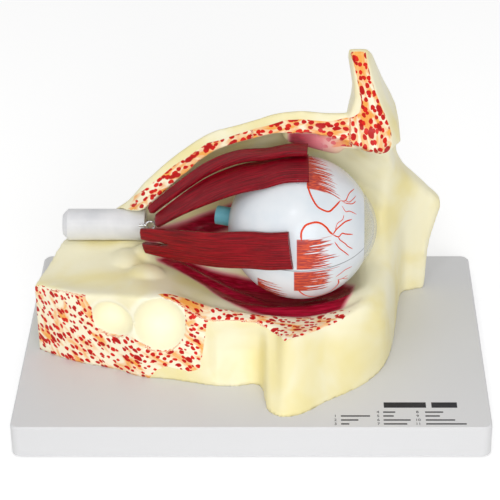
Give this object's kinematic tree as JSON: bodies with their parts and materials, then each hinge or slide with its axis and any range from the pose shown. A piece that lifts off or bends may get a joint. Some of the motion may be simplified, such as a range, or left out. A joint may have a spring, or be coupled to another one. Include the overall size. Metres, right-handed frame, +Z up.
{
  "type": "eye anatomy model",
  "caption": "Enlarged eye in its bony orbit on a board. The eyeball pulls out and opens on the choroid, iris, lens and vitreous body, and the muscles and cornea come off.",
  "frame": {"origin": "middle of the board's footprint, on the surface that the feet stand on", "axes": "+X the way the eye looks, along the board; +Y towards the nose side, the closed back; +Z up"},
  "size_m": [0.26, 0.18, 0.1895],
  "materials": {
    "board": "satin",
    "foot_rubber": "matt",
    "steel": "bright wire",
    "bone": "satin, painted",
    "nerve_sheath": "painted",
    "sclera": "gloss, painted",
    "choroid": "gloss",
    "iris": "gloss, painted",
    "clear_lens": "clear",
    "clear_body": "clear",
    "clear_cornea": "clear",
    "nerve_blue": "gloss",
    "muscle": "gloss, painted"
  },
  "bodies": {
    "orbit": {"base_board": "board", "rubber_feet": "foot_rubber", "base_screws": "steel", "bony_orbit": "bone", "optic_nerve_trunk": "nerve_sheath", "muscle_hook": "steel", "eyeball_peg": "steel"},
    "eyeball": {"sclera_lower": "sclera", "seam_pins": "steel", "choroid_lower": "choroid", "iris_lower": "iris", "optic_nerve_stub": "nerve_blue"},
    "sclera_cap": {"sclera_upper": "sclera"},
    "choroid_cap": {"choroid_upper": "choroid", "iris_upper": "iris"},
    "vitreous": {"vitreous_body": "clear_body"},
    "crystalline_lens": {"lens": "clear_lens"},
    "front_window": {"cornea": "clear_cornea"},
    "upper_straps": {"superior_rectus": "muscle", "levator_palpebrae": "muscle", "superior_rectus_pins": "steel"},
    "side_strap": {"lateral_rectus": "muscle", "lateral_rectus_pins": "steel"}
  },
  "joints": [
    {"name": "eyeball_pull", "type": "slide", "parent": "orbit", "child": "eyeball", "axis": [0, -0.9659, 0.2588], "range_m": [0, 0.12]},
    {"name": "sclera_lift", "type": "slide", "parent": "eyeball", "child": "sclera_cap", "axis": [0, -0.1132, 0.9936], "range_m": [0, 0.072]},
    {"name": "choroid_lift", "type": "slide", "parent": "eyeball", "child": "choroid_cap", "axis": [0, -0.1132, 0.9936], "range_m": [0, 0.048]},
    {"name": "vitreous_lift", "type": "slide", "parent": "eyeball", "child": "vitreous", "axis": [0, -0.1132, 0.9936], "range_m": [0, 0.0312]},
    {"name": "lens_forward", "type": "slide", "parent": "vitreous", "child": "crystalline_lens", "axis": [1, 0, 0], "range_m": [0, 0.0048]},
    {"name": "cornea_pull", "type": "slide", "parent": "eyeball", "child": "front_window", "axis": [1, 0, 0], "range_m": [0, 0.04]},
    {"name": "superior_rectus_pull", "type": "slide", "parent": "sclera_cap", "child": "upper_straps", "axis": [0, -0.2419, 0.9703], "range_m": [0, 0.035]},
    {"name": "lateral_rectus_pull", "type": "slide", "parent": "sclera_cap", "child": "side_strap", "axis": [0, -1, 0], "range_m": [0, 0.045]}
  ],
  "couplings": [
    {"joint": "sclera_lift", "follows": "eyeball_pull", "ratio": 0.6},
    {"joint": "choroid_lift", "follows": "eyeball_pull", "ratio": 0.4},
    {"joint": "vitreous_lift", "follows": "eyeball_pull", "ratio": 0.26},
    {"joint": "lens_forward", "follows": "eyeball_pull", "ratio": 0.04}
  ]
}
